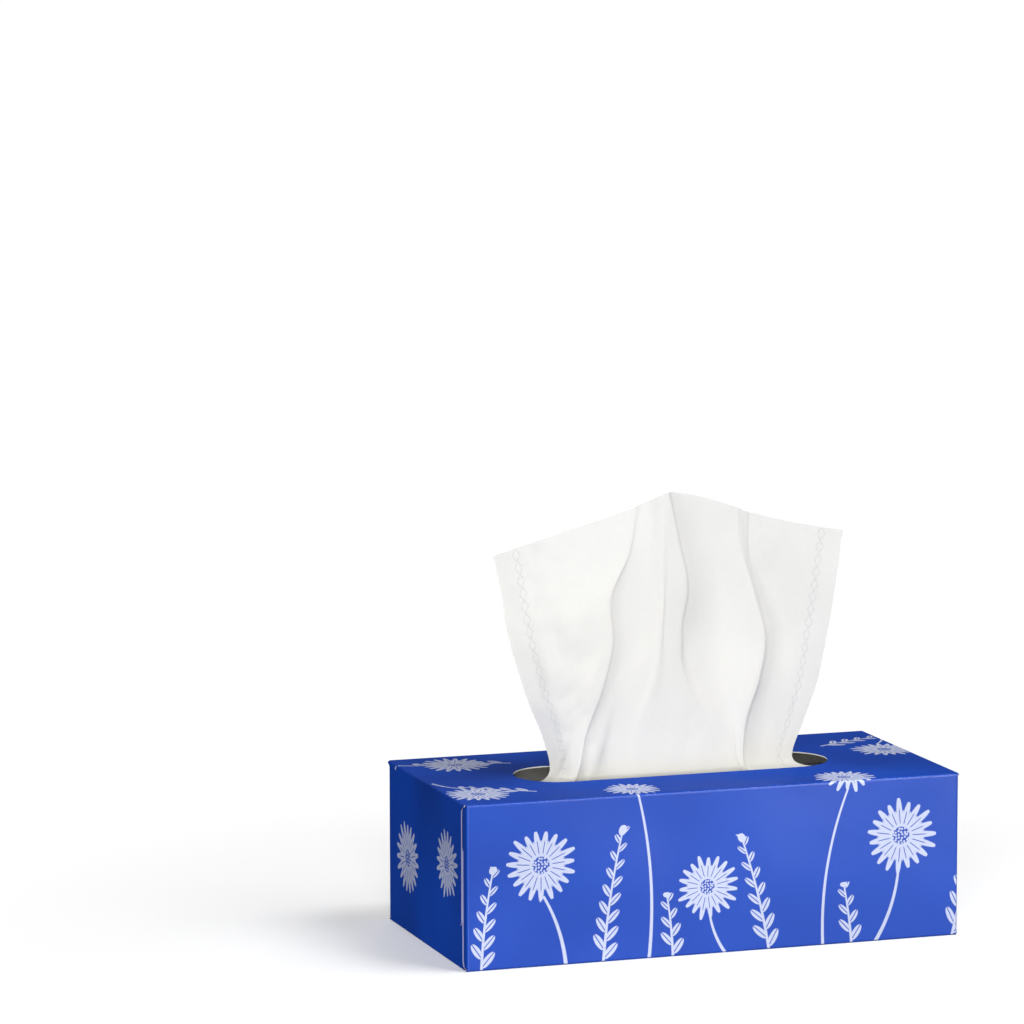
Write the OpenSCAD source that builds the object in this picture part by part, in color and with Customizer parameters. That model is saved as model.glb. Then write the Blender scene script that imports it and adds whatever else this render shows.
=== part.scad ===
// Carton of interfolded facial tissues, torn open on top, with its first tissue drawn up.
// X runs along the carton, the long front panel faces -Y and Z is up.
// The origin is the middle of the underside. Sizes are millimetres.

/* [Carton] */
// Length of the carton over its end flaps
carton_l = 220; // [200:1:240]
// Depth of the carton from front to back
carton_w = 108; // [100:1:130]
// Height of the carton
carton_h = 69.6; // [62:0.2:100]
// Thickness of the carton board
board_t = 0.45; // [0.35:0.05:0.6]
// Outside radius of every fold in the board
fold_r = 1; // [0.8:0.1:1.5]
// Width of the glued lap inside the back bottom edge
glue_lap = 14; // [8:1:20]

/* [End flaps] */
// How far the top and bottom flaps reach over each end
end_flap_reach = 51.5; // [40:0.5:56]
// How far the sides of those flaps are cut back from the carton's edges
end_flap_inset = 4.5; // [2.5:0.5:8]
// Corner radius at the free edge of a flap
flap_corner_r = 3; // [1:0.5:8]
// How far each dust flap reaches across the end
dust_flap_reach = 46; // [25:1:49]
// How much a dust flap narrows at its free edge, on each side
dust_flap_taper = 5; // [0:1:10]

/* [Opening] */
// Length of the dispensing opening
opening_l = 140; // [120:1:170]
// Width of the dispensing opening
opening_w = 37; // [30:1:48]

/* [Tissues] */
// Gap between the folded tissues and each end of the carton
end_clearance = 3.65; // [2:0.05:8]
// Gap between the folded tissues and the front and back panels
side_clearance = 3.5; // [2:0.1:6]
// Empty height between the folded tissues and the top panel
headspace = 12.7; // [10:0.1:40]
// Ridges that the folded edges make on the front of the stack
stack_ridges = 18; // [8:1:30]
// Thickness of one three-ply tissue
sheet_t = 0.4; // [0.3:0.05:0.6]

/* [Raised tissue] */
// Height of its middle above the carton
rise = 118.6; // [90:0.1:135]
// Width across its free corners
fan_w = 156.6; // [135:0.1:180]
// Gap between its gathered sides and the ends of the opening
gather_clearance = 14.5; // [10:0.5:20]
// Gap between its deepest fold and the long sides of the opening
rim_clearance = 5; // [3:0.5:8]
// Length that lies folded on the stack
foot_l = 46; // [30:1:48]
// Gap between its foot and the stack
seat_gap = 0.3; // [0.2:0.05:0.5]

/* [Hidden] */
$fn = 64;

board_colour = "#2a52be";
tissue_colour = "#f4f4f1";

// A cutting shape passes the face that it cuts by this much
past = 1;

// At each end the layers lie one inside the next: top flap, bottom flap, dust flaps
bottom_flap_x = carton_l / 2 - board_t;
dust_flap_x = carton_l / 2 - 2 * board_t;
panel_end_x = dust_flap_x - fold_r;
inner_l = 2 * (dust_flap_x - board_t);
inner_w = carton_w - 2 * board_t;

// End flaps start just inside the rounded long folds
hinge_inset = 1.3 * fold_r;
hinge_half = carton_w / 2 - hinge_inset;
shoulder_r = hinge_half - (carton_w / 2 - end_flap_inset);
dust_low_z = fold_r + board_t;
dust_high_z = carton_h - fold_r;

// The stack stands on the glued lap, which lies on the bottom panel
stack_z = 2 * board_t;
stack_top = carton_h - board_t - headspace;
stack_l = inner_l - 2 * end_clearance;
stack_d = inner_w - 2 * side_clearance;

// Rectangle about the origin with rounded corners
module rounded_rect(l, w, r) {
    square([l - 2 * r, w], center = true);
    square([l, w - 2 * r], center = true);
    for (x = [-1, 1], y = [-1, 1])
        translate([x * (l / 2 - r), y * (w / 2 - r)]) circle(r);
}

// Section of one fold: a quarter ring below and beyond the centre of the bend
module fold_section() {
    difference() {
        circle(fold_r);
        circle(fold_r - board_t);
        translate([-2 * fold_r, -2 * fold_r]) square([2 * fold_r, 4 * fold_r]);
        translate([-2 * fold_r, 0]) square([4 * fold_r, 2 * fold_r]);
    }
}

// Extrudes a section drawn in Y and Z along the carton
module along_x(l) {
    rotate([90, 0, 90]) linear_extrude(l, center = true) children();
}

// Extrudes a section drawn in X and Z from front to back
module along_y(w) {
    rotate([90, 0, 0]) linear_extrude(w, center = true) children();
}

// Section of the folded tube: four panels, with the lap folded in at the back bottom edge
module tube_section() {
    bend_y = carton_w / 2 - fold_r;
    // The bottom panel's cut edge stops this far short of the back panel's outer face
    edge_gap = 0.3 * fold_r;
    difference() {
        translate([0, carton_h / 2]) difference() {
            rounded_rect(carton_w, carton_h, fold_r);
            rounded_rect(inner_w, carton_h - 2 * board_t, fold_r - board_t);
        }
        translate([bend_y, -past]) square([fold_r + past, dust_low_z + past]);
    }
    translate([bend_y, dust_low_z]) fold_section();
    translate([carton_w / 2 - glue_lap, board_t]) square([glue_lap - fold_r, board_t]);
    translate([bend_y - fold_r, 0]) square([2 * fold_r - edge_gap, board_t]);
}

// Outline of a top or bottom flap from its fold at the origin, hanging down
module end_flap_outline() {
    free_half = carton_w / 2 - end_flap_inset;
    difference() {
        union() {
            translate([-hinge_half, -end_flap_reach + flap_corner_r])
                square([2 * hinge_half, end_flap_reach - flap_corner_r + past]);
            translate([-free_half + flap_corner_r, -end_flap_reach])
                square([2 * (free_half - flap_corner_r), flap_corner_r + past]);
            for (side = [-1, 1])
                translate([side * (free_half - flap_corner_r), -end_flap_reach + flap_corner_r])
                    circle(flap_corner_r);
        }
        // Below the fold the sides curve in, and then run straight
        for (side = [-1, 1]) translate([side * hinge_half, -fold_r - shoulder_r]) {
            circle(shoulder_r);
            translate([-shoulder_r, -end_flap_reach]) square([2 * shoulder_r, end_flap_reach]);
        }
    }
}

// One end flap with its fold, below z = 0, its outer face in the plane x = outer_x
module end_flap(outer_x) {
    intersection() {
        along_y(carton_w) {
            translate([panel_end_x - past, -board_t])
                square([outer_x - fold_r - panel_end_x + past, board_t]);
            translate([outer_x - fold_r, -fold_r]) mirror([0, 1]) fold_section();
            translate([outer_x - board_t, -end_flap_reach])
                square([board_t, end_flap_reach - fold_r]);
        }
        translate([outer_x, 0, 0]) along_x(4 * fold_r + 2 * past) end_flap_outline();
    }
}

// One dust flap, which carries on from the front panel round its end fold
module dust_flap() {
    height = dust_high_z - dust_low_z;
    intersection() {
        translate([0, 0, dust_low_z]) linear_extrude(height) {
            translate([panel_end_x - past, -carton_w / 2]) square([past, board_t]);
            translate([panel_end_x, fold_r - carton_w / 2]) fold_section();
            translate([dust_flap_x - board_t, fold_r - carton_w / 2])
                square([board_t, dust_flap_reach - fold_r]);
        }
        translate([dust_flap_x, 0, dust_low_z]) along_x(4 * fold_r + 2 * past)
            translate([-carton_w / 2, 0]) polygon([
                [-past, 0],
                [2 * fold_r, 0],
                [dust_flap_reach, dust_flap_taper],
                [dust_flap_reach, height - dust_flap_taper],
                [2 * fold_r, height],
                [-past, height]
            ]);
    }
}

// The long folds run on a little past the panels, up to the corners of the carton
module long_fold_ends() {
    intersection() {
        difference() {
            along_x(2 * dust_flap_x) tube_section();
            translate([-carton_l / 2, -hinge_half, -past])
                cube([carton_l, 2 * hinge_half, carton_h + 2 * past]);
            translate([-carton_l / 2, -carton_w, dust_low_z])
                cube([carton_l, 2 * carton_w, dust_high_z - dust_low_z]);
        }
        linear_extrude(carton_h) rounded_rect(2 * dust_flap_x, carton_w, fold_r);
    }
}

// Outline of the torn-out opening: straight sides and half-round ends
module opening_outline() {
    straight = opening_l - opening_w;
    square([straight, opening_w], center = true);
    for (side = [-1, 1]) translate([side * straight / 2, 0]) circle(d = opening_w);
}

// The folded board: four panels, the lap, and at each end two dust flaps with the
// bottom flap and then the top flap glued over them
module carton() {
    color(board_colour) difference() {
        union() {
            along_x(2 * panel_end_x) tube_section();
            long_fold_ends();
            for (end = [0, 1]) mirror([end, 0, 0]) {
                translate([0, 0, carton_h]) end_flap(carton_l / 2);
                mirror([0, 0, 1]) end_flap(bottom_flap_x);
                dust_flap();
                mirror([0, 1, 0]) dust_flap();
            }
        }
        translate([0, 0, carton_h - board_t - past])
            linear_extrude(board_t + 2 * past) opening_outline();
    }
}

// The folded tissues. Their folds lie by turns at the front and the back
module tissue_stack() {
    ridge_pitch = (stack_top - stack_z) / stack_ridges;
    // Neighbouring ridges overlap, so that the grooves between them stay shallow
    overlap = 1.12;
    ridge_r = overlap * ridge_pitch / 2;
    ridge_y = stack_d / 2 - ridge_r;
    color(tissue_colour) translate([0, 0, stack_z]) along_x(stack_l) intersection() {
        union() {
            translate([-ridge_y, 0]) square([2 * ridge_y, stack_top - stack_z]);
            for (k = [0 : stack_ridges - 1])
                translate([-ridge_y, (k + 0.5) * ridge_pitch]) circle(ridge_r);
            for (k = [0 : stack_ridges])
                translate([ridge_y, k * ridge_pitch]) circle(ridge_r);
        }
        translate([-stack_d, 0]) square([2 * stack_d, stack_top - stack_z]);
    }
}

// Fold lines of the raised tissue, from its left edge to its right edge. Each pair is the
// line's place across, in percent of half the width there, and its depth in percent of the
// deepest fold, where minus is towards the front. The pairs are at the opening, at every
// sixth of the way up, and at the free edge. The last number is how high the free edge is on
// that line, in percent of the rise.
fold_lines = [
    [[-101, -15], [-98, -30], [-101, -37], [-104, -44], [-104, -44], [-103, -37], [-103, -30], 79.8],
    [[-97, -41], [-91, -48], [-92, -56], [-90, -59], [-90, -59], [-87, -56], [-85, -48], 83.7],
    [[-91, -71], [-81, -73], [-73, -74], [-66, -74], [-66, -73], [-58, -68], [-53, -61], 90],
    [[-84, -78], [-70, -81], [-54, -85], [-45, -85], [-43, -81], [-30, -74], [-25, -63], 95.4],
    [[-89, -33], [-78, -37], [-64, -41], [-56, -41], [-53, -41], [-38, -43], [-27, -48], 95.2],
    [[-79, -6], [-68, -9], [-54, -12], [-44, -12], [-42, -16], [-29, -27], [-22, -40], 95],
    [[-62, -58], [-50, -58], [-43, -47], [-33, -37], [-29, -37], [-19, -43], [-17, -49], 96.8],
    [[-63, -32], [-49, -33], [-40, -36], [-26, -43], [-23, -46], [-14, -50], [-15, -54], 97.7],
    [[-52, -41], [-39, -44], [-31, -52], [-20, -59], [-19, -64], [-11, -64], [-12, -60], 98.5],
    [[-27, -67], [-24, -70], [-14, -74], [-11, -78], [-10, -77], [-10, -73], [-9, -64], 99.3],
    [[18, -68], [6, -70], [-4, -74], [-5, -83], [-2, -86], [-5, -80], [-7, -68], 99.9],
    [[35, -62], [19, -62], [3, -67], [0, -80], [4, -83], [-1, -79], [-6, -65], 100],
    [[39, -56], [21, -50], [0, -39], [-7, -37], [-4, -39], [-5, -39], [-5, -41], 99.5],
    [[42, -58], [25, -52], [9, -31], [5, -12], [9, -9], [4, -19], [0, -31], 99.5],
    [[47, -67], [36, -67], [31, -59], [30, -48], [26, -46], [20, -44], [16, -43], 97.4],
    [[49, -74], [43, -79], [45, -83], [44, -81], [38, -74], [31, -64], [28, -53], 95],
    [[54, -71], [49, -77], [55, -84], [55, -87], [47, -79], [38, -64], [36, -50], 92.8],
    [[45, -37], [41, -40], [45, -41], [45, -41], [39, -41], [33, -41], [38, -45], 92.4],
    [[59, 4], [54, 4], [58, 4], [58, 4], [50, -9], [40, -25], [43, -41], 91.2],
    [[71, -15], [68, -22], [72, -30], [72, -36], [66, -40], [58, -44], [56, -48], 88.8],
    [[84, -30], [81, -37], [84, -48], [84, -52], [81, -55], [77, -56], [75, -56], 85.9],
    [[101, 15], [99, -7], [100, -26], [99, -41], [97, -48], [96, -48], [96, -48], 83.2]
];
// Levels below the opening, from the foot's far edge up, in percent: how far the gathers have
// opened out, how much of the folds' depth is left, the place along the foot, and then, of the
// headspace, the height and how far a line that lay in the middle stands up
foot_levels = [[100, 0, 100, 0, 0], [85, 0, 65, 0, 8], [60, 8, 28, 3, 24], [28, 70, 4, 42, 16]];
// How much further out the sides bow than straight lines from the opening to the free edge
bow_out = 0.3;
// Faces across the sheet and up it
columns = 84;
rows = 24;

fold_depth = opening_w / 2 - rim_clearance;
gather_half = opening_l / 2 - gather_clearance;
foot_z = stack_top + seat_gap + sheet_t / 2;
last_line = len(fold_lines) - 1;
last_level = len(fold_lines[0]) - 2;

// Half the tissue's width at a share of its height
function half_width(up) =
    gather_half + (fan_w / 2 - gather_half) * up * (1 + bow_out * (1 - up));

// A fold line's point at level k above the opening
function raised_point(line, k) =
    let (up = k / last_level)
    [line[k].x / 100 * half_width(up), line[k].y / 100 * fold_depth,
        carton_h + up * rise * line[last_level + 1] / 100];

// A fold line's point below the opening, where the gathers open out and lie on the stack
function foot_point(i, level) =
    let (
        slot = raised_point(fold_lines[i], 0),
        flat_x = (i / last_line - 0.5) * stack_l,
        share = level / 100
    )
    [
        slot.x + (flat_x - slot.x) * share[0],
        slot.y * share[1] + foot_l * share[2],
        foot_z + headspace * (share[3] + share[4] * (1 + slot.y / fold_depth))
    ];

// One fold line from the far edge of the foot to the free edge
function whole_line(i) = concat(
    [for (level = foot_levels) foot_point(i, level)],
    [for (k = [0 : last_level]) raised_point(fold_lines[i], k)]
);

// Smooth curve through the points p, at s from 0 to the last point's number
function curve(p, s) =
    let (
        i = min(floor(s), len(p) - 2),
        f = s - i,
        b = p[i],
        c = p[i + 1],
        a = i > 0 ? p[i - 1] : 2 * b - c,
        d = i + 2 < len(p) ? p[i + 2] : 2 * c - b
    )
    b + f / 2 * (c - a + f * (2 * a - 5 * b + 4 * c - d + f * (3 * b - a - 3 * c + d)));

// The tissue drawn up through the opening, as one thin sheet with its folds
module raised_tissue() {
    lines = [for (i = [0 : last_line]) whole_line(i)];
    top_level = len(lines[0]) - 1;
    across = [for (j = [0 : rows]) [for (line = lines) curve(line, j / rows * top_level)]];
    middle = [for (row = across) [for (i = [0 : columns]) curve(row, i / columns * last_line)]];
    // Half the thickness is added on each side, square to the sheet
    half = [for (j = [0 : rows]) [for (i = [0 : columns])
        let (
            right = middle[j][min(i + 1, columns)] - middle[j][max(i - 1, 0)],
            up = middle[min(j + 1, rows)][i] - middle[max(j - 1, 0)][i],
            front = cross(right, up)
        )
        front / norm(front) * sheet_t / 2
    ]];
    n = columns + 1;
    back = n * (rows + 1);
    points = concat(
        [for (j = [0 : rows], i = [0 : columns]) middle[j][i] + half[j][i]],
        [for (j = [0 : rows], i = [0 : columns]) middle[j][i] - half[j][i]]
    );
    sheet_faces = [for (j = [0 : rows - 1], i = [0 : columns - 1])
        let (a = j * n + i, b = a + 1, c = b + n, d = a + n)
        each [[a, c, b], [a, d, c], [back + a, back + b, back + c], [back + a, back + c, back + d]]
    ];
    foot_and_free_edge = [for (j = [0, rows], i = [0 : columns - 1])
        let (a = j * n + i, b = a + 1)
        each j == 0
            ? [[a, b, back + b], [a, back + b, back + a]]
            : [[a, back + b, b], [a, back + a, back + b]]
    ];
    side_edges = [for (i = [0, columns], j = [0 : rows - 1])
        let (a = j * n + i, d = a + n)
        each i == 0
            ? [[a, back + d, d], [a, back + a, back + d]]
            : [[a, d, back + d], [a, back + d, back + a]]
    ];
    color(tissue_colour)
        polyhedron(points, concat(sheet_faces, foot_and_free_edge, side_edges));
}

carton();
tissue_stack();
raised_tissue();
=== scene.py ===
"""Looks of a torn-open carton of facial tissues: board, print, folded pack and raised tissue."""

import math

import bpy
import numpy as np
from mathutils import Matrix, Vector


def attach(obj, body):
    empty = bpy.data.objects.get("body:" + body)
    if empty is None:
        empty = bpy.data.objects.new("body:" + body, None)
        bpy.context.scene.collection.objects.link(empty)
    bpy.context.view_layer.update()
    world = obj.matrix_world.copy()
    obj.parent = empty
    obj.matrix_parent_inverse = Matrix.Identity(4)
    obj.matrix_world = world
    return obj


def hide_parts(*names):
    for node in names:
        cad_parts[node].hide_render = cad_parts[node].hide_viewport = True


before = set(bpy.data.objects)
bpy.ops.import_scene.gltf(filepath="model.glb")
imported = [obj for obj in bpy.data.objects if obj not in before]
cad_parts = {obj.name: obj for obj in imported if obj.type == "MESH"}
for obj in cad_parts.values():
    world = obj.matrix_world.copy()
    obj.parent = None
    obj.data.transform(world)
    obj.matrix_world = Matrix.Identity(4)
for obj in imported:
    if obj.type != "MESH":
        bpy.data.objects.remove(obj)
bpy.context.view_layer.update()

MM = 0.001

# Sizes that the carton, the pack and the raised tissue share with the construction, in mm
CARTON_L, CARTON_W, CARTON_H = 220.0, 108.0, 69.6
BOARD_T, FOLD_R = 0.45, 1.0
OPENING_W = 37.0
HEADSPACE = 12.7
END_CLEARANCE, SIDE_CLEARANCE = 3.65, 3.5
STACK_Z = 2 * BOARD_T
STACK_TOP = CARTON_H - BOARD_T - HEADSPACE
STACK_L = CARTON_L - 6 * BOARD_T - 2 * END_CLEARANCE
STACK_D = CARTON_W - 2 * BOARD_T - 2 * SIDE_CLEARANCE
SHEET_T, SEAT_GAP = 0.4, 0.3
RIM_CLEARANCE = 5.0
FOLD_DEPTH = OPENING_W / 2 - RIM_CLEARANCE
FOOT_L = 46.0
FOOT_Z = STACK_TOP + SEAT_GAP + SHEET_T / 2
TISSUE_W, TISSUE_L = 210.0, 200.0
SHOWN_SHEET_T = 0.3

# The camera, from the carton's corners in the photograph. Angles are radians
PICTURE_W = 1024
FOCAL_PX = 5005.2
CAMERA_AZIMUTH, CAMERA_ELEVATION, CAMERA_ROLL = -0.3218, 0.1344, -0.0020
CAMERA_DISTANCE = 2.0902
CAMERA_TARGET = Vector((-0.07126, 0, 0.18196))


def camera_axes():
    """The directions to the camera's right, above it and ahead of it."""
    az, el, roll = CAMERA_AZIMUTH, CAMERA_ELEVATION, CAMERA_ROLL
    ahead = Vector((-math.sin(az) * math.cos(el), math.cos(az) * math.cos(el), -math.sin(el)))
    level = ahead.cross(Vector((0, 0, 1))).normalized()
    above = level.cross(ahead)
    right = math.cos(roll) * level + math.sin(roll) * above
    up = -math.sin(roll) * level + math.cos(roll) * above
    return right, up, ahead


def on_middle_plane(pixel):
    """Where the line of sight through a pixel meets the plane y = 0: x and z in mm."""
    right, up, ahead = camera_axes()
    aside, down = [(place - PICTURE_W / 2) / FOCAL_PX for place in pixel]
    sight = ahead + right * aside - up * down
    start = CAMERA_TARGET - ahead * CAMERA_DISTANCE
    hit = start - sight * (start.y / sight.y)
    return hit.x / MM, hit.z / MM


def make_camera():
    right, up, ahead = camera_axes()
    data = bpy.data.cameras.new("camera")
    data.sensor_width = 36
    data.lens = FOCAL_PX / PICTURE_W * data.sensor_width
    data.clip_end = 30
    camera = bpy.data.objects.new("camera", data)
    turn = Matrix((right, up, -ahead)).transposed().to_4x4()
    camera.matrix_world = Matrix.Translation(CAMERA_TARGET - ahead * CAMERA_DISTANCE) @ turn
    bpy.context.collection.objects.link(camera)
    bpy.context.scene.camera = camera


class Maths:
    """A number or vector socket of a material, with Python's operators."""

    def __init__(self, finish, socket):
        self.finish = finish
        self.socket = socket

    def number(self, operation, *others):
        return self.finish.node("ShaderNodeMath", {"operation": operation}, [self, *others])

    def vector(self, operation, *others):
        return self.finish.node("ShaderNodeVectorMath", {"operation": operation}, [self, *others])

    def sum_or(self, operation, other):
        flat = self.socket.type != "VECTOR"
        return self.number(operation, other) if flat else self.vector(operation, other)

    def __add__(self, other):
        return self.sum_or("ADD", other)

    __radd__ = __add__

    def __sub__(self, other):
        return self.sum_or("SUBTRACT", other)

    def __rsub__(self, other):
        return self.finish.node("ShaderNodeMath", {"operation": "SUBTRACT"}, [other, self])

    def __mul__(self, other):
        if self.socket.type == "VECTOR":
            return self.finish.node(
                "ShaderNodeVectorMath", {"operation": "SCALE"}, {0: self, "Scale": other}
            )
        return self.number("MULTIPLY", other)

    __rmul__ = __mul__

    def __truediv__(self, other):
        return self.number("DIVIDE", other)

    def __rtruediv__(self, other):
        return self.finish.node("ShaderNodeMath", {"operation": "DIVIDE"}, [other, self])

    def __pow__(self, other):
        return self.number("POWER", other)

    def __lt__(self, other):
        return self.number("LESS_THAN", other)

    def __gt__(self, other):
        return self.number("GREATER_THAN", other)

    def __abs__(self):
        return self.number("ABSOLUTE")

    def floor(self):
        return self.number("FLOOR")

    def fraction(self):
        return self.number("FRACT")

    def root(self):
        return self.number("SQRT")

    def at_least(self, other):
        return self.number("MAXIMUM", other)

    def at_most(self, other):
        return self.number("MINIMUM", other)

    def dot(self, other):
        return self.finish.node(
            "ShaderNodeVectorMath", {"operation": "DOT_PRODUCT"}, [self, other], "Value"
        )

    def length(self):
        return self.finish.node("ShaderNodeVectorMath", {"operation": "LENGTH"}, [self], "Value")

    def parts(self):
        return [self.finish.node("ShaderNodeSeparateXYZ", {}, [self], axis) for axis in "XYZ"]

    def ramp(self, low, high):
        """0 below low and 1 above high, with a smooth step between."""
        return self.finish.node(
            "ShaderNodeMapRange",
            {"interpolation_type": "SMOOTHSTEP"},
            {"Value": self, "From Min": low, "From Max": high},
        )


class Finish:
    """One material, built from nodes on a Principled surface."""

    def __init__(self, name, **constants):
        self.material = bpy.data.materials.new(name)
        self.material.use_nodes = True
        self.tree = self.material.node_tree
        self.surface = self.tree.nodes["Principled BSDF"]
        for socket, value in constants.items():
            self.surface.inputs[socket.replace("_", " ")].default_value = value

    def node(self, kind, settings, values, output=0):
        made = self.tree.nodes.new(kind)
        for name, value in settings.items():
            setattr(made, name, value)
        pairs = values.items() if isinstance(values, dict) else enumerate(values)
        for socket, value in pairs:
            if isinstance(value, Maths):
                self.tree.links.new(value.socket, made.inputs[socket])
            elif value is not None:
                made.inputs[socket].default_value = value
        return Maths(self, made.outputs[output])

    def feed(self, **sockets):
        for name, value in sockets.items():
            self.tree.links.new(value.socket, self.surface.inputs[name.replace("_", " ")])

    def place(self):
        """The point on the object, in millimetres."""
        return self.node("ShaderNodeTexCoord", {}, [], "Object") * (1 / MM)

    def facing(self):
        return self.node("ShaderNodeNewGeometry", {}, [], "True Normal")

    def pair(self, x, y, z=0.0):
        return self.node("ShaderNodeCombineXYZ", {}, [x, y, z])

    def mix(self, share, first, second):
        return self.node(
            "ShaderNodeMix", {"data_type": "RGBA"}, {0: share, 6: first, 7: second}, 2
        )

    def noise(self, where, scale, detail=2.0, roughness=0.5):
        values = {"Vector": where, "Scale": scale, "Detail": detail, "Roughness": roughness}
        return self.node("ShaderNodeTexNoise", {}, values, "Fac")

    def bump(self, height, distance, strength=1.0, under=None):
        values = {"Height": height, "Distance": distance, "Strength": strength, "Normal": under}
        return self.node("ShaderNodeBump", {}, values, "Normal")


def colour(red, green, blue):
    """A colour written as it shows on a screen, from 0 to 255."""
    def light(c):
        c = c / 255
        return c / 12.92 if c <= 0.04045 else ((c + 0.055) / 1.055) ** 2.4

    return (light(red), light(green), light(blue), 1.0)


# The printed board

COBALT = (0.0045, 0.066, 0.49, 1.0)
COBALT_DEEP = (0.0035, 0.058, 0.45, 1.0)
PALE_PRINT = colour(213, 220, 242)
BARE_BOARD, BARE_BOARD_DARK = colour(208, 207, 202), colour(196, 195, 190)
CUT_BOARD = colour(232, 230, 224)
INKED_EDGE = colour(158, 156, 186)
# Painted shade: the ends are drawn darker by this much of a deep blue, for the shade that falls
# on them, as they look in the photograph
PAINTED_END_SHADE_SHARE = 0.32
PAINTED_END_SHADE = (0.001, 0.02, 0.16, 1.0)

# The print is drawn on the flat blank, in mm: x along the carton, and y from the front
# panel's top fold, minus down the front, plus over the top and down the back
FLOWER_HEADS = [
    # x, y, radius
    (-77, -27, 16.5),
    (-4, -41, 14.5),
    (83, -25, 17),
    (-97, 22, 15),
    (-86, 88, 16),
    (-33, 12, 12.5),
    (33, 93, 15),
    (60, 8, 14),
    (101, 62, 15),
    (-64, 142, 16.5),
    (8, 128, 14),
    (74, 146, 16.5),
    (-139, 24, 15.5),
    (-147, 78, 17),
    (137, 84, 16),
    (146, 30, 16.5),
]
STEMS = [
    # foot x, foot y, top x, top y, sideways bow, width
    (-66, -72, -76, -40, 2.0, 1.5),
    (6, -72, -3, -52, -1.5, 1.3),
    (70, -72, 82, -38, 2.5, 1.5),
    (-30, -72, -35, 2, 3.5, 1.3),
    (48, -72, 59, -3, -4.0, 1.2),
    (-108, 50, -99, 35, 1.5, 1.2),
    (-112, 96, -99, 90, 1.0, 1.2),
    (70, 112, 45, 100, -2.0, 1.2),
    (113, 98, 103, 75, -2.0, 1.2),
    (-72, 180, -66, 155, 2.0, 1.5),
    (18, 180, 10, 140, -3.0, 1.3),
    (66, 180, 72, 160, 1.5, 1.5),
]
SPRIGS = [
    # foot x, foot y, length, lean from straight up in degrees, sideways bow
    (-50, -72, 60, 4, 5.0),
    (24, -72, 54, -9, -5.0),
    (-19, -72, 30, -2, -2.0),
    (61, -72, 29, -4, -2.0),
    (106, -72, 58, 14, -4.0),
    (-103, -72, 46, 2, 4.0),
    (78, 78, 46, 62, 5.0),
    (-62, 84, 42, -70, -4.0),
    (-72, 20, 34, -60, 3.0),
    (-40, 182, 56, 186, 5.0),
    (40, 182, 52, 172, -4.0),
    (-178, 50, 52, -88, 5.0),
    (178, 54, 54, 88, -5.0),
]
# How softly the print's edges end, in mm
EDGE_BLUR = 0.16

# A flower head's parts, as shares of its radius
PETALS = 19
PETAL_FROM, PETAL_TO, PETAL_VARIES = 0.2, 0.84, 0.14
PETAL_FULLNESS = 0.4464
VEIN_FROM, VEIN_TO = 0.006, 0.016
SHORT_PETAL_FROM, SHORT_PETAL_L, SHORT_PETAL_HALF = 0.22, 0.42, 0.032
MIDDLE_R = 0.235
SEEDS_ACROSS = 13.0
HEAD_BLUR = EDGE_BLUR / 15

# A stem's width at its foot and how much of it is lost on the way up, as shares of its width
STEM_FOOT, STEM_TAPER = 1.15, 0.45

# A sprig's leaves, in mm and degrees, and how much smaller they are at its tip. Then its
# stalk and the bud at its end
LEAF_PITCH, LEAF_L, LEAF_SLOPE = 7.5, 9.5, 38
LEAF_FULLNESS, LEAF_SHRINK = 0.19, 0.55
STALK_HALF, STALK_TAPER = 0.62, 0.3
BUD_PLACE, BUDS_TO_A_SPRIG, BUD_HALF = 0.965, 26, 1.7


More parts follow.
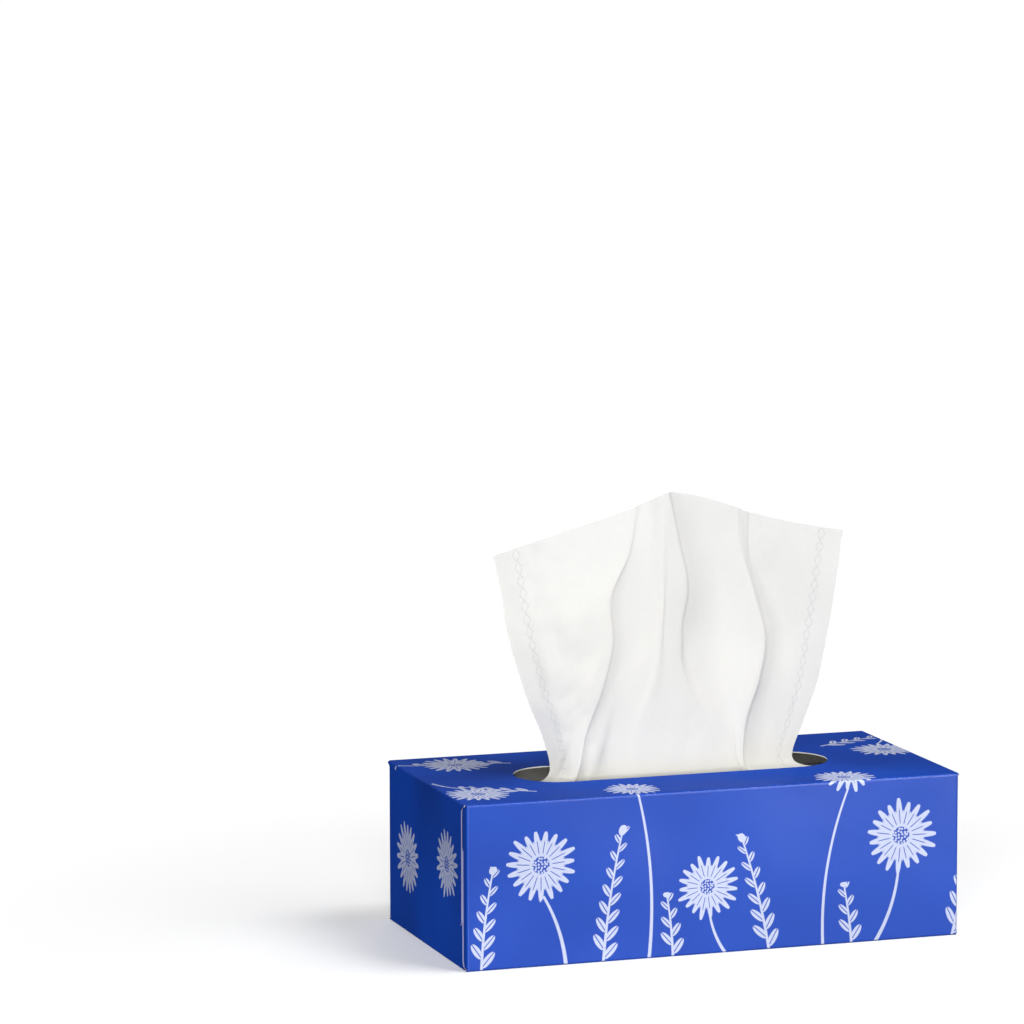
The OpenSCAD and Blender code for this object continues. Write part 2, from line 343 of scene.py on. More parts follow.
def flower_heads(finish, net):
    """Daisies with narrow petals. Only the nearest head's own disc is drawn at any point."""
    disc = finish.pair(0.0, 0.0)
    inside_any = None
    number = None
    for i, (x, y, radius) in enumerate(FLOWER_HEADS):
        local = (net - (x, y, 0)) * (1 / radius)
        inside = local.length() < 1
        disc = disc + local * inside
        inside_any = inside if inside_any is None else inside_any + inside
        number = inside * float(i) if number is None else number + inside * float(i)
    across, along, _ = disc.parts()
    far = disc.length()
    turn = across.number("ARCTAN2", along) * (PETALS / (2 * math.pi)) + number * 0.37 + 40.0
    petal = turn.floor()
    off = abs(turn - petal - 0.5) * 2
    luck = finish.node(
        "ShaderNodeTexWhiteNoise",
        {"noise_dimensions": "1D"},
        {"W": petal + number * 31.0},
        "Value",
    )
    reach = PETAL_TO + luck * PETAL_VARIES
    spacing = math.pi / PETALS
    # Half the width of a petal, from its root to its tip
    share = (far - PETAL_FROM) / (reach - PETAL_FROM)
    half = ((share * (1.04 - share)).at_least(0.0) * 4).root() * (PETAL_FULLNESS * spacing)
    from_middle = off * far * spacing
    long_petals = (half - from_middle).ramp(-HEAD_BLUR, HEAD_BLUR) * (share < 1)
    # A vein that stays blue down the middle of each petal
    vein = 1 - from_middle.ramp(VEIN_FROM, VEIN_TO)
    vein_reach = share.ramp(0.1, 0.2) * (1 - share.ramp(0.55, 0.7))
    long_petals = long_petals * (1 - vein * vein_reach)
    # Short petals show in the gaps
    gap = (1 - off) * far * spacing
    inner_share = (far - SHORT_PETAL_FROM) / SHORT_PETAL_L
    inner_half = (inner_share * (1 - inner_share)).at_least(0.0) * 4
    inner_half = inner_half.root() * SHORT_PETAL_HALF
    on_short = abs(inner_share - 0.5) < 0.5
    short_petals = (inner_half - gap).ramp(-HEAD_BLUR, HEAD_BLUR) * on_short
    seeds = finish.node(
        "ShaderNodeTexVoronoi",
        {"voronoi_dimensions": "2D"},
        {"Vector": disc, "Scale": SEEDS_ACROSS, "Randomness": 0.55},
        "Distance",
    )
    middle = (1 - seeds.ramp(0.30, 0.42)) * (far < MIDDLE_R)
    ring = 1 - abs(far - MIDDLE_R).ramp(0.004, 0.016)
    drawn = long_petals.at_least(short_petals) * (far > MIDDLE_R - 0.01)
    return drawn.at_least(middle).at_least(ring * 0.9) * inside_any.at_most(1.0)


def stems(finish, net):
    """Single bowed stems, a little narrower at the top."""
    drawn = None
    for foot_x, foot_y, top_x, top_y, bow, width in STEMS:
        reach = math.hypot(top_x - foot_x, top_y - foot_y)
        up = ((top_x - foot_x) / reach, (top_y - foot_y) / reach)
        local = net - (foot_x, foot_y, 0)
        along = local.dot((up[0], up[1], 0)) * (1 / reach)
        aside = local.dot((up[1], -up[0], 0))
        bent = aside - along * (1 - along) * (4 * bow)
        half = width / 2 * (STEM_FOOT - along * STEM_TAPER)
        line = (half - abs(bent)).ramp(-EDGE_BLUR, EDGE_BLUR) * (abs(along - 0.5) < 0.5)
        drawn = line if drawn is None else drawn.at_least(line)
    return drawn


def sprigs(finish, net):
    """Leafy stalks. Their strips don't overlap, so one drawing serves them all."""
    strip = finish.pair(0.0, 0.0)
    inside_any = None
    for x, y, reach, lean, bow in SPRIGS:
        up = (math.sin(math.radians(lean)), math.cos(math.radians(lean)))
        local = net - (x, y, 0)
        along = local.dot((up[0], up[1], 0))
        share = along * (1 / reach)
        aside = local.dot((up[1], -up[0], 0)) - share * share * bow
        inside = (abs(share - 0.5) < 0.5) * (abs(aside) < LEAF_L * 0.8)
        strip = strip + finish.pair(share, aside, along) * inside
        inside_any = inside if inside_any is None else inside_any.at_least(inside)
    share, aside, along = strip.parts()
    side = aside > 0
    count = along / LEAF_PITCH + side * 0.5
    step = count.fraction() * LEAF_PITCH
    out = abs(aside)
    size = LEAF_L * (1 - share * LEAF_SHRINK)
    slope = math.radians(LEAF_SLOPE)
    run = step * math.cos(slope) + out * math.sin(slope) - size * 0.5
    cross = out * math.cos(slope) - step * math.sin(slope)
    bellied = cross / (size * LEAF_FULLNESS)
    body = 1 - (run / (size * 0.5)) ** 2.0 - bellied * bellied
    vein = abs(cross).ramp(0.10, 0.32)
    leaves = body.ramp(-0.12, 0.12) * vein * (count > 1)
    stalk = (STALK_HALF - share * STALK_TAPER - out).ramp(-EDGE_BLUR, EDGE_BLUR)
    bud_along = (share - BUD_PLACE) * BUDS_TO_A_SPRIG
    bud = 1 - (bud_along * bud_along + (aside / BUD_HALF) ** 2.0)
    return leaves.at_least(stalk).at_least(bud.ramp(-0.1, 0.15)) * inside_any


def printed_board():
    """Satin cobalt print outside, bare grey board inside and along every cut edge."""
    finish = Finish(
        "printed_board", Specular_IOR_Level=0.15, Coat_Roughness=0.36, Coat_IOR=1.85
    )
    place = finish.place()
    x, y, z = place.parts()
    nx, ny, nz = finish.facing().parts()
    end = (x > 0) * 2 - 1
    far_x = abs(x)

    # How far out of the rounded box a point lies, from 0 at the centres of the folds
    over_x = (far_x - (CARTON_L / 2 - FOLD_R)).at_least(0.0)
    over_y = (abs(y) - (CARTON_W / 2 - FOLD_R)).at_least(0.0)
    over_z = (abs(z - CARTON_H / 2) - (CARTON_H / 2 - FOLD_R)).at_least(0.0)
    skin = finish.pair(over_x, over_y, over_z)
    back = (y > 0) * 2 - 1
    upper = (z > CARTON_H / 2) * 2 - 1
    outward = over_x * nx * end + over_y * ny * back + over_z * nz * upper
    on_skin = (skin.length() > FOLD_R - 0.12) * (outward > 0.3)
    outer_end = (nx * end > 0.5) * (far_x > CARTON_L / 2 - 2 * BOARD_T - 0.1)
    printed = on_skin.at_least(outer_end)

    # The point's place on the flat blank
    on_end = outer_end.at_least((over_x > 0.3) * (over_z < 0.95))
    on_top = z > CARTON_H - 0.4
    on_front = y < 0
    down = CARTON_H - z
    round_tube = finish.mix(
        on_top,
        finish.mix(on_front, finish.pair(x, CARTON_W + down), finish.pair(x, z - CARTON_H)),
        finish.pair(x, y + CARTON_W / 2),
    )
    past_fold = finish.pair(end * (CARTON_L / 2 + down), y + CARTON_W / 2)
    net = finish.mix(on_end, round_tube, past_fold)
    # A mix gives a colour, and adding nothing makes it a vector again
    net = finish.node("ShaderNodeVectorMath", {"operation": "ADD"}, [net, (0, 0, 0)])
    # The flaps that start at the bottom of an end are plain
    patterned = 1 - on_end * (far_x < CARTON_L / 2 - 0.2)
    patterned = patterned * (z > 0.5)
    motif = flower_heads(finish, net).at_least(stems(finish, net)).at_least(sprigs(finish, net))
    motif = motif * patterned * printed

    # The ink, and where it is missing
    clouds = finish.noise(place, 0.02, 3)
    fine = finish.noise(place, 2.2, 2, 0.6)
    ink = finish.mix(clouds.ramp(0.3, 0.7), COBALT_DEEP, COBALT)
    pale = finish.mix(fine * 0.25, PALE_PRINT, COBALT)
    inked = finish.mix(motif, ink, pale)
    # The print is lightened a little along the folds: partly rubbed print, partly a painted
    # highlight on the fold edges
    near_fold = (over_x > 0.15) + (over_y > 0.15) + (over_z > 0.15) > 1.5
    rubbed_and_highlit = near_fold * finish.noise(place, 0.9, 4, 0.7).ramp(0.52, 0.75) * 0.16
    inked = finish.mix(rubbed_and_highlit, inked, PALE_PRINT)
    # Painted shade: the end panels' print is darkened towards a deep blue
    inked = finish.mix(on_end * PAINTED_END_SHADE_SHARE, inked, PAINTED_END_SHADE)

    fibre = finish.noise(finish.pair(x * 0.4, y, z), 1.6, 4, 0.65)
    bare = finish.mix(fibre.ramp(0.3, 0.7), BARE_BOARD_DARK, BARE_BOARD)
    cut_rim = (abs(nz) < 0.5) * (z > CARTON_H - BOARD_T - 0.2) * (abs(y) < OPENING_W)
    cut_flap = (abs(nx) < 0.5) * (far_x > CARTON_L / 2 - 3 * BOARD_T - 0.1)
    raw = finish.mix(cut_rim, bare, CUT_BOARD)
    raw = finish.mix(cut_flap, raw, INKED_EDGE)
    raw = finish.mix((far_x > CARTON_L / 2 - 3) * (nx * end > 0.3), raw, COBALT)
    finish.feed(Base_Color=finish.mix(printed, raw, inked))

    mottle = finish.noise(place, 0.25, 3)
    matte = on_top.at_least(on_end) * 0.36
    finish.feed(Roughness=0.35 + matte + mottle * 0.06 + (1 - printed) * 0.1 + motif * 0.05)
    # The varnish is kept off the top and the ends
    finish.feed(Coat_Weight=(1 - on_top.at_least(on_end)) * printed * 0.75)

    # The panels bow a little, so that their shine isn't even
    bow = finish.noise(place, 0.011, 1)
    grain = finish.noise(place, 1.1, 3, 0.6)
    height = bow * 60.0 + mottle * 0.35 + grain * 0.02 + motif * 0.012
    finish.feed(Normal=finish.bump(height * MM, 1.0, 0.35))
    return finish.material


# The tissue and the pack

TISSUE_WHITE = (0.905, 0.902, 0.886, 1.0)
TISSUE_THIN = (0.88, 0.877, 0.861, 1.0)
TISSUE_WARM_CAST = (0.905, 0.89, 0.825, 1.0)
PRESSED_SHADE_GREY = (0.55, 0.55, 0.56, 1.0)
SEAM_SHADE_GREY = (0.66, 0.66, 0.65, 1.0)
PACK_THIN = (0.85, 0.85, 0.842, 1.0)
LET_THROUGH = 0.25
EMBOSS_FROM_EDGE = 12.0
DIAMOND_L, DIAMOND_W = 5.6, 4.2
SEAM_PITCH = 0.62

# The crumpled strip near the left edge: its place across, and where it starts and is full
CRUMPLED_AT, CRUMPLED_FROM, CRUMPLED_FULL = -78, 30, 8


def tissue_paper():
    """Soft three-ply tissue with a chain of pressed diamonds along each side edge."""
    finish = Finish("tissue", Roughness=0.95, Specular_IOR_Level=0.1)
    flat = finish.node("ShaderNodeUVMap", {"uv_map": "flat_mm"}, [])
    across, along, _ = flat.parts()
    in_from_edge = TISSUE_W / 2 - abs(across)
    beat = (along / DIAMOND_L).fraction()
    arm = (0.5 - abs(beat - 0.5)) * DIAMOND_W
    off_line = abs(abs(in_from_edge - EMBOSS_FROM_EDGE) - arm)
    dotted = 0.75 + 0.25 * (along * 2.4).number("SINE")
    pressed = (1 - off_line.ramp(0.12, 0.42)) * dotted
    formation = finish.noise(flat, 0.35, 3, 0.6)
    fibre = finish.noise(finish.pair(across * 2.5, along), 1.3, 4, 0.7)
    crepe = finish.noise(finish.pair(across * 0.22, along), 1.9, 2, 0.6)
    tone = finish.mix(formation.ramp(0.25, 0.8), TISSUE_THIN, TISSUE_WHITE)
    # Painted warm cast: the tissue is drawn a little warmer near the opening, against the blue
    # light that the carton's top bounces onto it
    near_opening_cast = (along / TISSUE_L + 0.62).ramp(0.66, 0.0)
    tone = finish.mix(near_opening_cast * 0.8, tone, TISSUE_WARM_CAST)
    # Painted shade: the pressed diamonds are drawn grey, for the shade in the pressed lines
    tone = finish.mix(pressed * 0.5, tone, PRESSED_SHADE_GREY)
    finish.feed(Base_Color=tone)

    dents = finish.noise(flat, 0.05, 2, 0.45) * 1.6
    strip = abs(across - CRUMPLED_AT).ramp(CRUMPLED_FROM, CRUMPLED_FULL)
    crumpled = strip * finish.noise(flat, 0.06, 1, 0.4) * 4.0
    height = crepe * 0.03 + fibre * 0.02 + formation * 0.05 - pressed * 0.12
    height = height + dents + crumpled
    finish.feed(Normal=finish.bump(height * MM, 1.0, 0.6))

    # Some of the light goes through the paper
    through = finish.node("ShaderNodeBsdfTranslucent", {}, {"Color": TISSUE_WHITE})
    both = finish.node("ShaderNodeMixShader", {}, {0: LET_THROUGH, 2: through})
    finish.tree.links.new(finish.surface.outputs[0], both.socket.node.inputs[1])
    output = finish.tree.nodes["Material Output"]
    finish.tree.links.new(both.socket, output.inputs["Surface"])
    return finish.material


def stacked_paper():
    """The folded pack: close layers on its sides, soft creped paper on its top."""
    finish = Finish("stacked_tissue", Roughness=0.95, Specular_IOR_Level=0.1)
    place = finish.place()
    x, y, z = place.parts()
    formation = finish.noise(place, 0.3, 3, 0.6)
    fibre = finish.noise(finish.pair(x * 0.5, y, z), 1.5, 4, 0.7)
    layer = (z * (1 / SEAM_PITCH)).fraction()
    seam = (1 - abs(layer - 0.5).ramp(0.30, 0.48)) * (z < STACK_TOP - 0.6)
    tone = finish.mix(formation, PACK_THIN, TISSUE_WHITE)
    # Painted shade: the seams between the layers are drawn grey, for the shade in the gaps
    finish.feed(Base_Color=finish.mix(seam * 0.3, SEAM_SHADE_GREY, tone))
    finish.feed(Normal=finish.bump((fibre * 0.03 + seam * 0.12) * MM, 1.0, 0.6))
    return finish.material


# Lines of the raised tissue, read in the photograph: pixels in and down from its
# top left corner
LEFT_EDGE = [
    (548.3, 781.2), (548.8, 760.8), (546.4, 746.4), (535.6, 720), (526, 696),
    (516.4, 664.8), (508, 636), (504.9, 614.4), (499.6, 583), (493.6, 556.3),
]
RIGHT_EDGE = [
    (798.4, 766.3), (791, 756), (790, 745), (797, 734.4), (804.4, 717.6), (815, 689),
    (822.4, 655), (828.4, 621.6), (834.4, 588), (836.8, 564), (841.6, 530.4),
]
FREE_EDGE = [
    (493.6, 556.3), (538, 541), (586, 524.4), (626.8, 511.2), (658, 496.8), (671, 492),
    (689, 494.4), (718, 500.4), (749, 512.4), (778, 519.6), (809, 525.6), (841.6, 530.4),
]

# Its folds, read in an enlarged crop that starts this many pixels in and down, and has this
# many pixels to one of the photograph
CROP_START, CROP_SCALE = 480, 4.054
LEFT_FOLD = [
    (630, 110), (610, 260), (580, 380), (535, 440), (525, 500), (525, 600), (545, 700),
    (540, 770), (490, 850), (450, 920), (430, 1000), (425, 1080), (385, 1215),
]
LOW_CREASE = [(548, 740), (545, 880), (530, 1000), (525, 1080), (480, 1215)]
TIP_FOLD = [
    (740, 100), (740, 300), (738, 560), (720, 700), (700, 860), (650, 980), (640, 1210),
]
CENTRE_FOLD = [
    (765, 80), (800, 230), (838, 380), (838, 520), (815, 600), (800, 690), (815, 780),
    (870, 900), (930, 1040), (985, 1190),
]
RIGHT_FOLD = [
    (1055, 130), (1062, 330), (1110, 460), (1150, 600), (1155, 680), (1130, 800),
    (1090, 900), (1065, 1020), (1066, 1100), (1072, 1190),
]


def in_crop(points):
    return [(CROP_START + x / CROP_SCALE, CROP_START + y / CROP_SCALE) for x, y in points]


def course(pixels):
    """A line that was read in the photograph, as a function from height to place across."""
    points = sorted((z, x) for x, z in map(on_middle_plane, pixels))
    heights, places = zip(*points)
    return lambda height: np.interp(height, heights, places)


def beside(line, offsets=(0, 0, 0, 0, 0, 0, 0)):
    """Runs this many mm to the right of a line, at each level."""
    return lambda level, height: line(height) + offsets[level]


def between(left, right, shares):
    """Runs this share of the way from one line to the next, at each level."""
    return lambda level, height: left(height) + shares[level] * (right(height) - left(height))


def first_beside(low_line, low_offset, line, offsets):
    """Runs beside the low line at the first two levels and beside the other one above."""
    low, high = beside(low_line, (low_offset, low_offset)), beside(line, offsets)
    return lambda level, height: low(level, height) if level < 2 else high(level, height)


left_edge, right_edge = course(LEFT_EDGE), course(RIGHT_EDGE)
left_fold, low_crease = course(in_crop(LEFT_FOLD)), course(in_crop(LOW_CREASE))
tip_fold, centre_fold = course(in_crop(TIP_FOLD)), course(in_crop(CENTRE_FOLD))
right_fold = course(in_crop(RIGHT_FOLD))

# The fold lines, from the left edge to the right edge. Each has the way it runs across and its
# depth in mm, where minus is towards the front. Both are given at even levels, from the
# opening to the free edge
FOLD_LINES = [
    (beside(left_edge), (-1, -2.5, -3.5, -3.5, -2, 1.5, 4)),
    (
        between(left_edge, left_fold, (0.25, 0.33, 0.4, 0.4, 0.4, 0.4, 0.4)),
        (-4.2, -6.2, -8.2, -8.2, -6.6, -3.4, -0.8),
    ),
    (
        between(left_edge, left_fold, (0.5, 0.62, 0.78, 0.8, 0.8, 0.8, 0.8)),
        (-7, -9, -11.2, -11.2, -9.8, -7.2, -4.6),
    ),
    (
        beside(left_fold, (-2.2, -2.8, -3.2, -3.2, -3.2, -3.2, -3.2)),
        (-9.6, -10.9, -12, -12, -11, -8.7, -6),
    ),
    (beside(left_fold), (-10.2, -11.2, -12, -12, -11, -8.8, -6.2)),
    (
        beside(left_fold, (0.6, 0.4, -0.1, -0.3, -0.1, 0.6, 1.2)),
        (-9.1, -10, -10.6, -10, -9.6, -8.1, -5.9),
    ),
    (
        beside(left_fold, (3, 2.6, 2.6, 2.8, 2.8, 2.8, 3)),
        (-8.4, -9.4, -9.8, -9, -8.8, -7.7, -5.6),
    ),
    (
        first_beside(low_crease, -3, left_fold, (0, 0, 5.4, 6.4, 6.6, 5.8, 5.6)),
        (-8.2, -9.1, -9.3, -8.5, -8.3, -7.6, -6),
    ),
    (
        first_beside(low_crease, 0.8, left_fold, (0, 0, 10, 12, 13, 9, 7.8)),
        (-7.5, -8.5, -9, -8.4, -8.3, -8, -6.8),
    ),
    (
        beside(tip_fold, (-6, -5, -4.4, -4, -3.6, -2.8, -2.2)),
        (-8, -8.8, -9.4, -9.4, -9.2, -9, -7.8),
    ),
    (beside(tip_fold), (-8.6, -9.4, -10.2, -10.4, -10.4, -10, -8.6)),
    (
        beside(tip_fold, (14, 11, 4, 1.6, 1.7, 1.6, 0.9)),
        (-8.6, -9.2, -9.6, -9.8, -10, -9.8, -8.5),
    ),
    (
        beside(centre_fold, (-8, -7, -4, -3.4, -3.8, -2.6, -0.7)),
        (-8.2, -8.8, -9.2, -9.2, -9.6, -9.4, -8.2),
    ),
    (beside(centre_fold), (-7.2, -7.8, -8.4, -8.6, -8.9, -8.6, -7.6)),
    (
        beside(centre_fold, (3.5, 3.5, 2, 0.4, -0.1, 0.1, 0.4)),
        (-6.6, -7, -7.2, -6.5, -6.4, -6.1, -5.8),
    ),
    (
        beside(centre_fold, (6, 7.5, 5, 3.8, 3.2, 3, 3)),
        (-6.3, -6.3, -6.1, -5, -4.8, -4.7, -4.7),
    ),
    (
        beside(centre_fold, (8, 12, 16, 17, 14, 13, 14)),
        (-6.2, -5.6, -4, -2.2, -2, -2.4, -3.2),
    ),
    (
        beside(right_fold, (-2.2, -4, -5.5, -5, -3.6, -3.2, -3.4)),
        (-6.8, -6.8, -6.2, -5.2, -4.7, -4.3, -4.3),
    ),
    (beside(right_fold), (-7, -7, -6.6, -5.6, -5, -4.3, -3.8)),
    (
        beside(right_fold, (0, 0, -0.2, -0.1, 0.9, 2.0, 2.6)),
        (-4.6, -4.5, -3.9, -2.9, -2.7, -3.1, -3.3),
    ),
    (
        beside(right_fold, (4.4, 4.4, 4.2, 4.2, 4.4, 5.4, 6)),
        (-2.4, -2.1, -1.2, -0.4, -0.8, -2.1, -2.7),
    ),
    (
        between(right_fold, right_edge, (0.5, 0.5, 0.5, 0.5, 0.5, 0.5, 0.5)),
        (-0.8, -0.8, -0.8, -1.2, -2.1, -3.2, -3.7),
    ),
    (beside(right_edge), (1.6, 0.4, -1.2, -3.2, -4.9, -5.8, -5.8)),
]
TISSUE_COLUMNS, TISSUE_ROWS = 240, 176

# Levels below the opening, from the foot's far edge up, in percent: how far the gathers have
# opened out, how much of their depth is left, the place along the foot, and the height and
# the standing-up of the middle as shares of the headspace. The far edge is folded under: the
# first levels run outwards below, and the fold is at the third one
FOOT_LEVELS = [
    (100, 0, 46, 0, 0),
    (100, 0, 92, 0, 0),
    (100, 0, 100, 5.5, 0),
    (100, 0, 92, 11, 0),
    (85, 0, 65, 11, 8),
    (60, 8, 28, 12, 24),
    (28, 70, 4, 42, 16),
]


def raised_line(across, depths):
    """One fold line from the opening up to the free edge, set so that the camera sees it
    where it was read."""
    _, _, ahead = camera_axes()
    aside, drop = ahead.x / ahead.y, -ahead.z / ahead.y
    edge_places, edge_heights = zip(*map(on_middle_plane, FREE_EDGE))
    top_level = len(depths) - 1
    # How high the free edge is depends on the place across, so the two are settled by turns
    top = CARTON_H
    for _ in range(30):
        seen = across(top_level, top)
        top = np.interp(seen, edge_places, edge_heights) - drop * depths[-1]
    points = []
    for level, y in enumerate(depths):
        z = CARTON_H + (top - CARTON_H) * level / top_level
        points.append((across(level, z + drop * y) + aside * y, y, z))
    return points


def foot_point(slot, flat_x, level):
    """A point below the opening, where the gathers open out and lie on the pack."""
    spread, depth, along, height, stand = (share / 100 for share in level)
    slot_x, slot_y, _ = slot
    return (
        slot_x + (flat_x - slot_x) * spread,
        slot_y * depth + along * FOOT_L,
        FOOT_Z + HEADSPACE * (height + stand * (1 + slot_y / FOLD_DEPTH)),
    )


def whole_line(i):
    """One fold line from the far edge of the foot to the free edge."""
    raised = raised_line(*FOLD_LINES[i])
    flat_x = (i / (len(FOLD_LINES) - 1) - 0.5) * STACK_L
    return [foot_point(raised[0], flat_x, level) for level in FOOT_LEVELS] + raised


def curve(points, steps):
    """Smooth curve through the points, with mirrored ends, at this many even steps."""
    last = len(points) - 1
    s = np.linspace(0, last, steps + 1)
    i = np.minimum(np.floor(s).astype(int), last - 1)
    f = (s - i).reshape((-1,) + (1,) * (points.ndim - 1))
    padded = np.concatenate(
        [[2 * points[0] - points[1]], points, [2 * points[-1] - points[-2]]]
    )
    a, b, c, d = padded[i], padded[i + 1], padded[i + 2], padded[i + 3]
    return b + f / 2 * (c - a + f * (2 * a - 5 * b + 4 * c - d + f * (3 * b - a - 3 * c + d)))


def square_to(grid):
    """Unit normals of a grid of points, towards the front."""
    right = np.gradient(grid, axis=1)
    up = np.gradient(grid, axis=0)
    normal = np.cross(right, up)
    return normal / np.linalg.norm(normal, axis=2, keepdims=True)


def closed_sheet(name, grid, thickness, flat):
    """A closed mesh of this thickness round a grid of points, with its flat places as a map."""
    rows, columns = grid.shape[0], grid.shape[1]
    half = square_to(grid) * thickness / 2
    points = np.concatenate([(grid + half).reshape(-1, 3), (grid - half).reshape(-1, 3)]) * MM
    here = np.arange(rows * columns).reshape(rows, columns)
    a, b, c, d = here[:-1, :-1], here[:-1, 1:], here[1:, 1:], here[1:, :-1]
    front = np.stack([a, b, c, d], axis=-1).reshape(-1, 4)
    behind = front[:, ::-1] + rows * columns
    rim = np.concatenate([here[0], here[1:, -1], here[-1, -2::-1], here[-2:0:-1, 0]])
    after = np.roll(rim, -1)
    edge = np.stack([after, rim, rim + rows * columns, after + rows * columns], axis=-1)
    faces = np.concatenate([front, behind, edge])
    mesh = bpy.data.meshes.new(name)
    mesh.from_pydata(points.tolist(), [], faces.tolist())
    layer = mesh.uv_layers.new(name="flat_mm")
    both = np.concatenate([flat.reshape(-1, 2)] * 2)
    layer.data.foreach_set("uv", both[faces.reshape(-1)].astype(np.float32).ravel())
    mesh.polygons.foreach_set("use_smooth", np.ones(len(faces), dtype=bool))
    mesh.update()
    mesh.set_sharp_from_angle(angle=math.radians(60))
    piece = bpy.data.objects.new(name, mesh)
    bpy.context.collection.objects.link(piece)
    return piece


def flat_places(grid):
    """How far each point lies from the sheet's middle and its free edge, along the sheet."""
    across = np.linalg.norm(np.diff(grid, axis=1), axis=2)
    across = np.concatenate([np.zeros((len(grid), 1)), np.cumsum(across, axis=1)], axis=1)
    across = across / across[:, -1:] * TISSUE_W - TISSUE_W / 2
    along = np.linalg.norm(np.diff(grid, axis=0), axis=2)
    along = np.concatenate([np.zeros((1, grid.shape[1])), np.cumsum(along, axis=0)], axis=0)
    return np.stack([across, along - along[-1:]], axis=-1)


def make_raised_tissue():
    lines = np.array([whole_line(i) for i in range(len(FOLD_LINES))])
    rows = curve(np.swapaxes(lines, 0, 1), TISSUE_ROWS)
    grid = np.swapaxes(curve(np.swapaxes(rows, 0, 1), TISSUE_COLUMNS), 0, 1)
    piece = closed_sheet("drawn_up_tissue", grid, SHOWN_SHEET_T, flat_places(grid))
    piece.data.materials.append(tissue_paper())
    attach(piece, "root")
    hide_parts("raised_tissue")
    return piece


PACK_LAYERS, STEPS_PER_LAYER = 44, 6
# How far in from the pack's depth the grooves between its folds lie, and how far a fold
# bulges out of them
GROOVE_IN, FOLD_BULGE = 1.1, 0.55
# How far the layers stray, and how far the pack's top falls off to its front and back
LAYERS_STRAY, TOP_FALLS = 0.18, 0.5
TOP_POINTS, PACK_SECTIONS = 42, 61


def make_pack():
    """The folded tissues: rounded folds down the front and back, and a soft crown on top."""
    height = STACK_TOP - STACK_Z
    pitch = height / PACK_LAYERS
    up = np.arange(PACK_LAYERS * STEPS_PER_LAYER + 1) / STEPS_PER_LAYER
    bulge = np.abs(np.sin(np.pi * up)) ** 0.6 * FOLD_BULGE
    side = STACK_D / 2 - GROOVE_IN + bulge
    z = STACK_Z + up * pitch
    # One outline round the pack: up the front, over the top, down the back
    over = np.linspace(-1, 1, TOP_POINTS)[1:-1]
    front = np.stack([-side, z], axis=1)
    top = np.stack([over * side[-1], np.full(len(over), STACK_TOP)], axis=1)
    outline = np.concatenate([front, top, front[::-1] * (-1, 1)])
    x = np.linspace(-STACK_L / 2, STACK_L / 2, PACK_SECTIONS)
    points = np.zeros((len(x), len(outline), 3))
    points[:, :, 0] = x[:, None]
    points[:, :, 1] = outline[None, :, 0]
    points[:, :, 2] = outline[None, :, 1]
    # The layers settle unevenly, and every one a little differently
    share = (points[:, :, 2] - STACK_Z) / height
    wave = np.sin(points[:, :, 0] / 31 + 5 * share) + np.sin(points[:, :, 0] / 13 + 17 * share)
    points[:, :, 1] += LAYERS_STRAY * wave * np.sign(points[:, :, 1])
    falls = TOP_FALLS * (points[:, :, 1] / (STACK_D / 2)) ** 4
    points[:, :, 2] -= share ** 6 * falls + 0.12 * share ** 8 * (1 + wave / 2)
    count, ring = points.shape[0], points.shape[1]
    here = np.arange(count * ring).reshape(count, ring)
    a, b = here[:-1], here[1:]
    skin = np.stack([a, np.roll(a, -1, axis=1), np.roll(b, -1, axis=1), b], axis=-1)
    faces = skin.reshape(-1, 4).tolist() + [here[0, ::-1].tolist(), here[-1].tolist()]
    mesh = bpy.data.meshes.new("folded_pack")
    mesh.from_pydata((points.reshape(-1, 3) * MM).tolist(), [], faces)
    mesh.polygons.foreach_set("use_smooth", np.ones(len(faces), dtype=bool))
    mesh.update()
    mesh.set_sharp_from_angle(angle=math.radians(50))
    piece = bpy.data.objects.new("folded_pack", mesh)
    bpy.context.collection.objects.link(piece)
    mesh.materials.append(stacked_paper())
    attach(piece, "root")
    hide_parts("tissue_stack")
    return piece


def dress_carton():
    """The carton is the construction's own piece, with a finish."""
    carton = bpy.data.objects["carton"]
    board = printed_board()
    for slot in carton.material_slots:
        slot.material = board


# The studio

# The floor takes shadows close to the carton and fades to plain white further away, in metres
SHADE_FROM, SHADE_TO = 0.18, 0.33
FLOOR_REACH = 12.0
# How light the floor is to the camera and as a light on the carton, and its own glow
FLOOR_SEEN = (0.98, 0.98, 0.98, 1.0)
FLOOR_BOUNCE = (0.2, 0.2, 0.2, 1.0)
FLOOR_GLOW = (0.285, 0.285, 0.285, 1.0)
BLACK, WHITE = (0.0, 0.0, 0.0, 1.0), (1.0, 1.0, 1.0, 1.0)
WORLD_LEVEL = 0.03
LAMPS_AIM_AT = Vector((0, 0, 0.08))


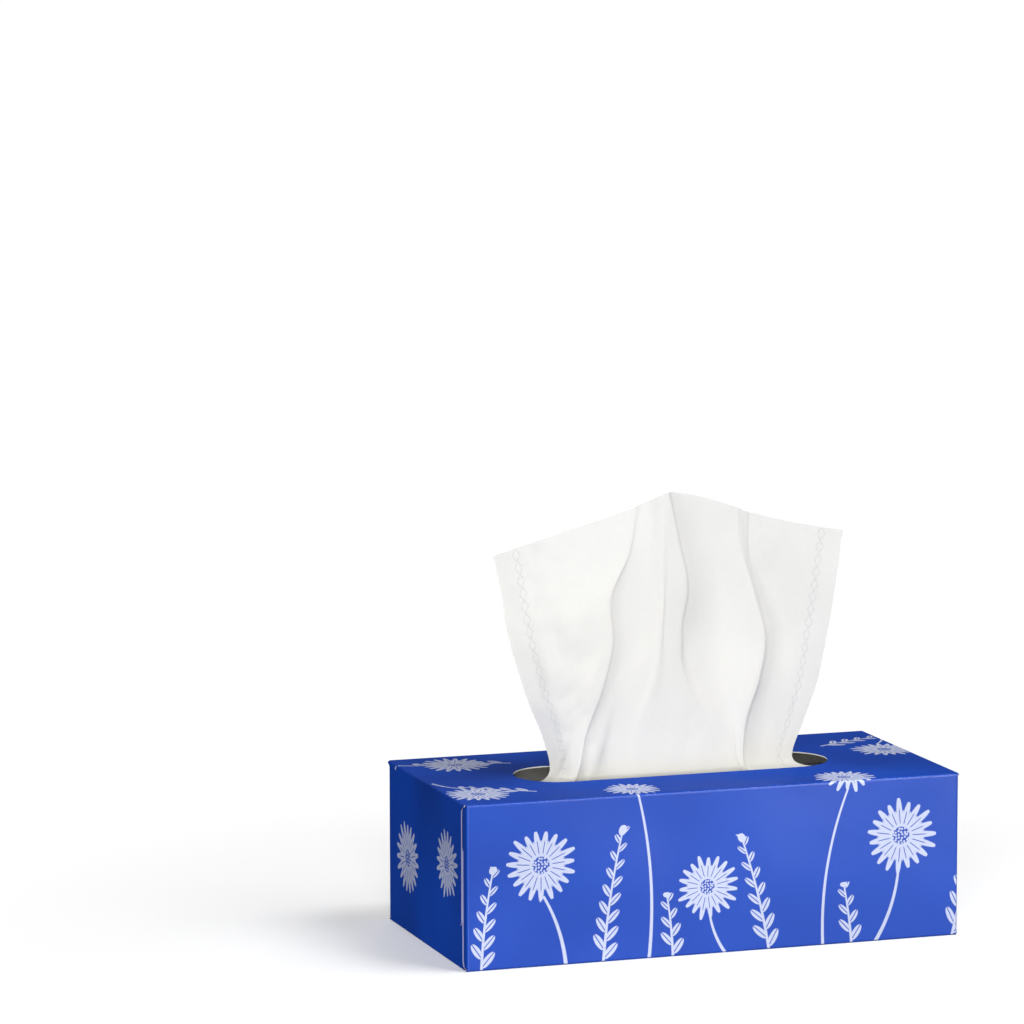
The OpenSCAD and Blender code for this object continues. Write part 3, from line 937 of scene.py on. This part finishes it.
def make_floor():
    mesh = bpy.data.meshes.new("floor")
    near, far = -FLOOR_REACH, FLOOR_REACH
    corners = [(near, near, 0), (far, near, 0), (far, far, 0), (near, far, 0)]
    mesh.from_pydata(corners, [], [(0, 1, 2, 3)])
    floor = bpy.data.objects.new("floor", mesh)
    bpy.context.collection.objects.link(floor)
    finish = Finish("floor", Roughness=0.9, Specular_IOR_Level=0.1, Emission_Strength=1.0)
    away = finish.place().length().ramp(SHADE_FROM / MM, SHADE_TO / MM)
    seen = finish.node("ShaderNodeLightPath", {}, [], "Is Camera Ray")
    paint = finish.mix(seen, FLOOR_BOUNCE, FLOOR_SEEN)
    finish.feed(Base_Color=finish.mix(away, paint, BLACK))
    glow = finish.mix(away, FLOOR_GLOW, WHITE)
    finish.feed(Emission_Color=finish.mix(seen, BLACK, glow))
    mesh.materials.append(finish.material)


def make_world():
    """Plain white to the camera and a weak even light on everything else."""
    world = bpy.data.worlds.new("studio")
    world.use_nodes = True
    bpy.context.scene.world = world
    tree = world.node_tree
    background = tree.nodes["Background"]
    path = tree.nodes.new("ShaderNodeLightPath")
    level = tree.nodes.new("ShaderNodeMapRange")
    level.inputs["To Min"].default_value = WORLD_LEVEL
    tree.links.new(path.outputs["Is Camera Ray"], level.inputs["Value"])
    tree.links.new(level.outputs[0], background.inputs["Strength"])
    background.inputs["Color"].default_value = WHITE


def area_light(name, towards, distance, size, level):
    """A square lamp in that direction from the carton. Level is how brightly it lights a white
    surface that faces it."""
    data = bpy.data.lights.new(name, "AREA")
    data.shape = "SQUARE"
    data.size = size
    data.energy = level * math.pi ** 2 * distance ** 2
    lamp = bpy.data.objects.new(name, data)
    away = Vector(towards).normalized()
    lamp.location = LAMPS_AIM_AT + away * distance
    lamp.rotation_euler = away.to_track_quat("Z", "Y").to_euler()
    lamp.visible_camera = False
    bpy.context.collection.objects.link(lamp)


bpy.context.scene.view_settings.view_transform = "Standard"
make_camera()
make_world()
make_floor()
area_light("main", (-0.36, -0.91, 0.20), 2.6, 1.0, 0.67)
area_light("left", (-0.84, -0.525, 0.139), 2.2, 0.7, 0.35)
area_light("right_high", (0.44, -0.33, 0.83), 1.8, 1.0, 0.60)
area_light("low_front", (0.46, -0.88, 0.12), 0.90, 0.24, 0.20)
area_light("back_high", (0.15, 0.72, 0.68), 2.0, 0.9, 0.14)
dress_carton()
make_pack()
make_raised_tissue()
